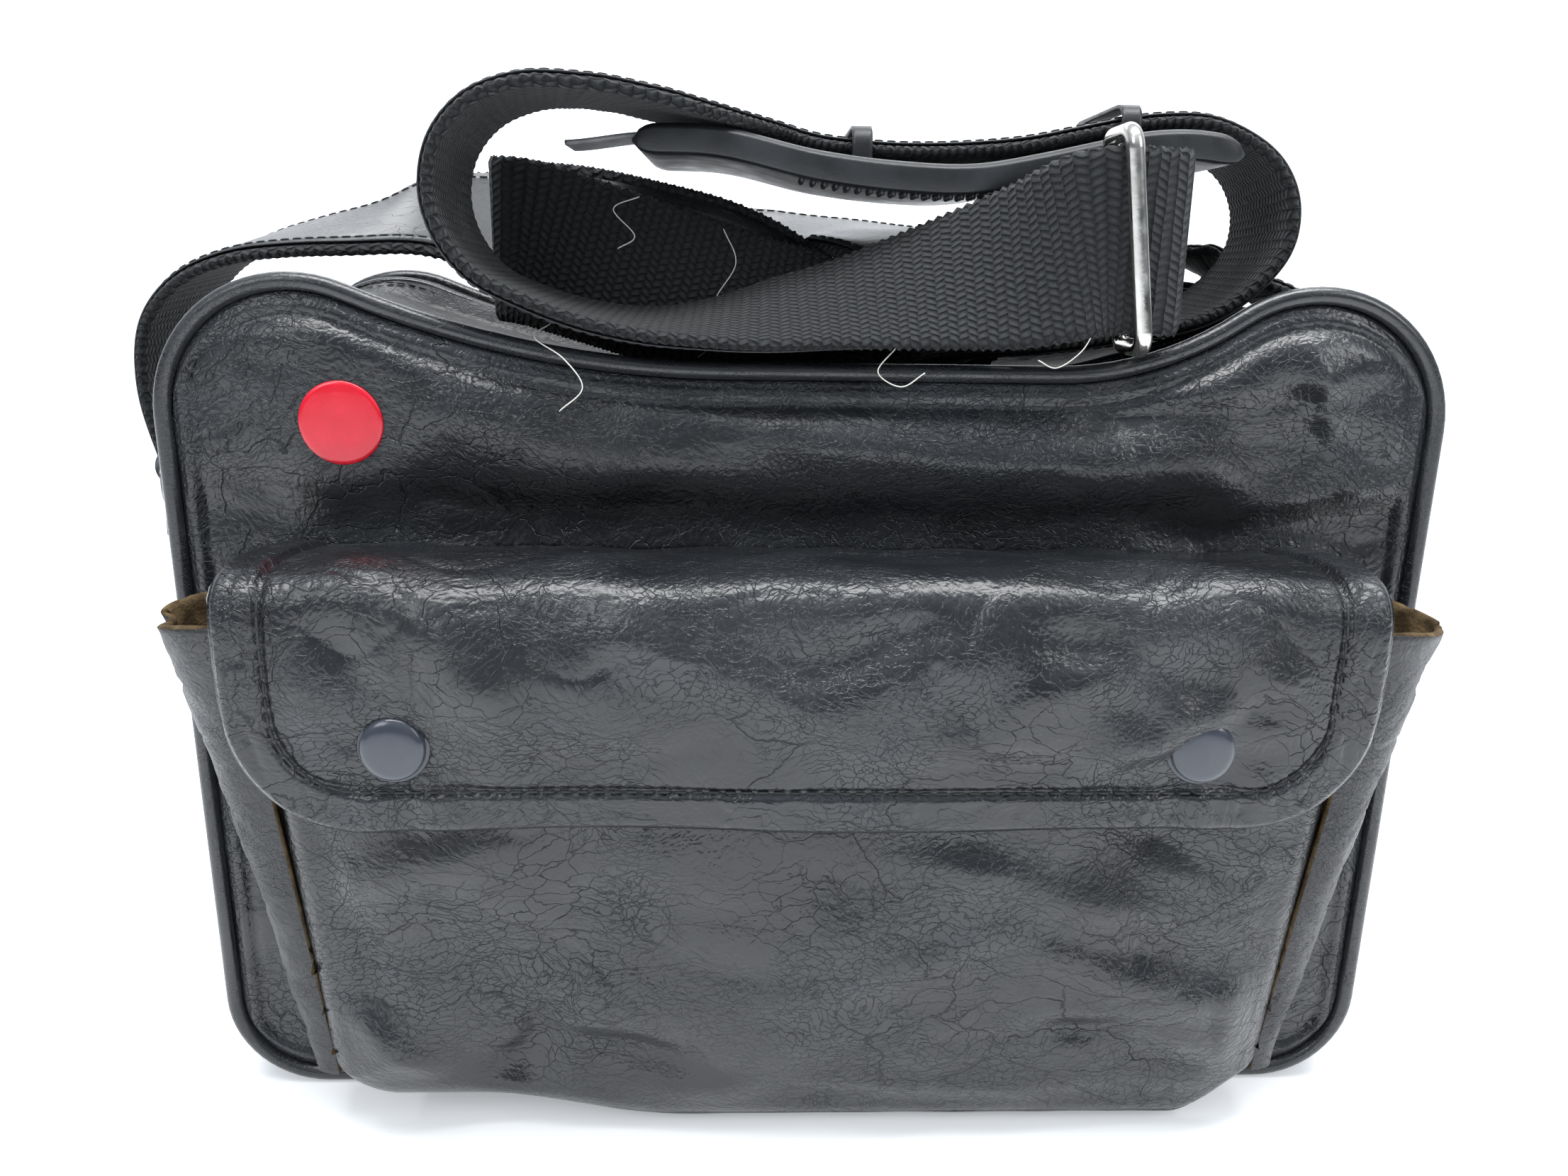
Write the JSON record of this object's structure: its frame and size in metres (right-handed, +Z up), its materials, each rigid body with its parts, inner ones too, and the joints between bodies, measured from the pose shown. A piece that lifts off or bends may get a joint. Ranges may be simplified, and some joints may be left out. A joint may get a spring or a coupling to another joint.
{
  "type": "soft leather camera case",
  "caption": "Soft black leather camera case with piped edges, a zip top, a snap-down front pocket flap, a plain red badge and a folded webbing shoulder strap.",
  "frame": {"origin": "middle of the base, on the floor that the case stands on", "axes": "+X to the right across the front, -Y out of the front with its pocket, +Z up"},
  "size_m": [0.3239, 0.1422, 0.2441],
  "materials": {
    "black_leather": "glossy creased black hide",
    "piping_leather": "smooth glossy black piping",
    "zip_tape": "black woven tape",
    "zip_teeth": "black coil",
    "dark_metal": "black-plated metal",
    "tan_lining": "tan woven lining",
    "foam": "grey foam sheet",
    "board": "brown fibreboard",
    "grey_pile": "dark grey pile fabric",
    "flap_backing": "black split-leather backing",
    "black_enamel": "satin black enamel",
    "red_enamel": "plain glossy red",
    "black_webbing": "coarse black webbing",
    "smooth_leather": "smooth satin black strap leather",
    "bright_wire": "bright plated wire, lightly worn",
    "black_rubber": "moulded black rubber"
  },
  "bodies": {
    "case": {"front_panel": "black_leather", "rear_panel": "black_leather", "piping_front": "piping_leather", "piping_rear": "piping_leather", "gusset_base": "black_leather", "zip_strip_front": "black_leather", "zip_strip_rear": "black_leather", "zip_tape_front": "zip_tape", "zip_tape_rear": "zip_tape", "zip_teeth_front": "zip_teeth", "zip_teeth_rear": "zip_teeth", "zip_teeth_closed": "zip_teeth", "zip_end_tab_left": "black_leather", "zip_end_tab_right": "black_leather", "lining": "tan_lining", "front_padding": "foam", "rear_padding": "foam", "base_board": "board", "padded_divider": "grey_pile", "pocket_front": "black_leather", "pocket_bellows_left": "black_leather", "pocket_bellows_right": "black_leather", "pocket_base": "black_leather", "flap_root": "black_leather", "snap_studs": "dark_metal", "red_badge": "red_enamel", "strap_webbing": "black_webbing", "strap_facing": "smooth_leather", "strap_anchor_left": "black_leather", "strap_anchor_right": "black_leather"},
    "flap": {"flap_panel": "black_leather", "flap_lining": "flap_backing", "snap_caps": "black_enamel", "snap_sockets": "dark_metal"},
    "slider": {"zip_slider": "dark_metal"},
    "pull": {"zip_pull": "dark_metal"},
    "buckle": {"strap_buckle": "bright_wire"},
    "pad": {"shoulder_pad": "black_rubber"}
  },
  "joints": [
    {"name": "flap_hinge", "type": "hinge", "parent": "case", "child": "flap", "pos_m": [0, -0.0842, 0.145], "axis": [-1, 0, 0], "range_deg": [0, 180]},
    {"name": "zip_slide", "type": "slide", "parent": "case", "child": "slider", "axis": [0, 0, 1], "range_m": [0, 0.006]},
    {"name": "zip_pull_hinge", "type": "hinge", "parent": "slider", "child": "pull", "pos_m": [-0.15115, -0.0305, 0.1579], "axis": [0, 1, 0], "range_deg": [0, 165]},
    {"name": "buckle_slide", "type": "slide", "parent": "case", "child": "buckle", "axis": [1, 0, 0], "range_m": [-0.001, 0.003]},
    {"name": "pad_slide", "type": "slide", "parent": "case", "child": "pad", "axis": [1, 0, 0], "range_m": [-0.003, 0.001]}
  ]
}
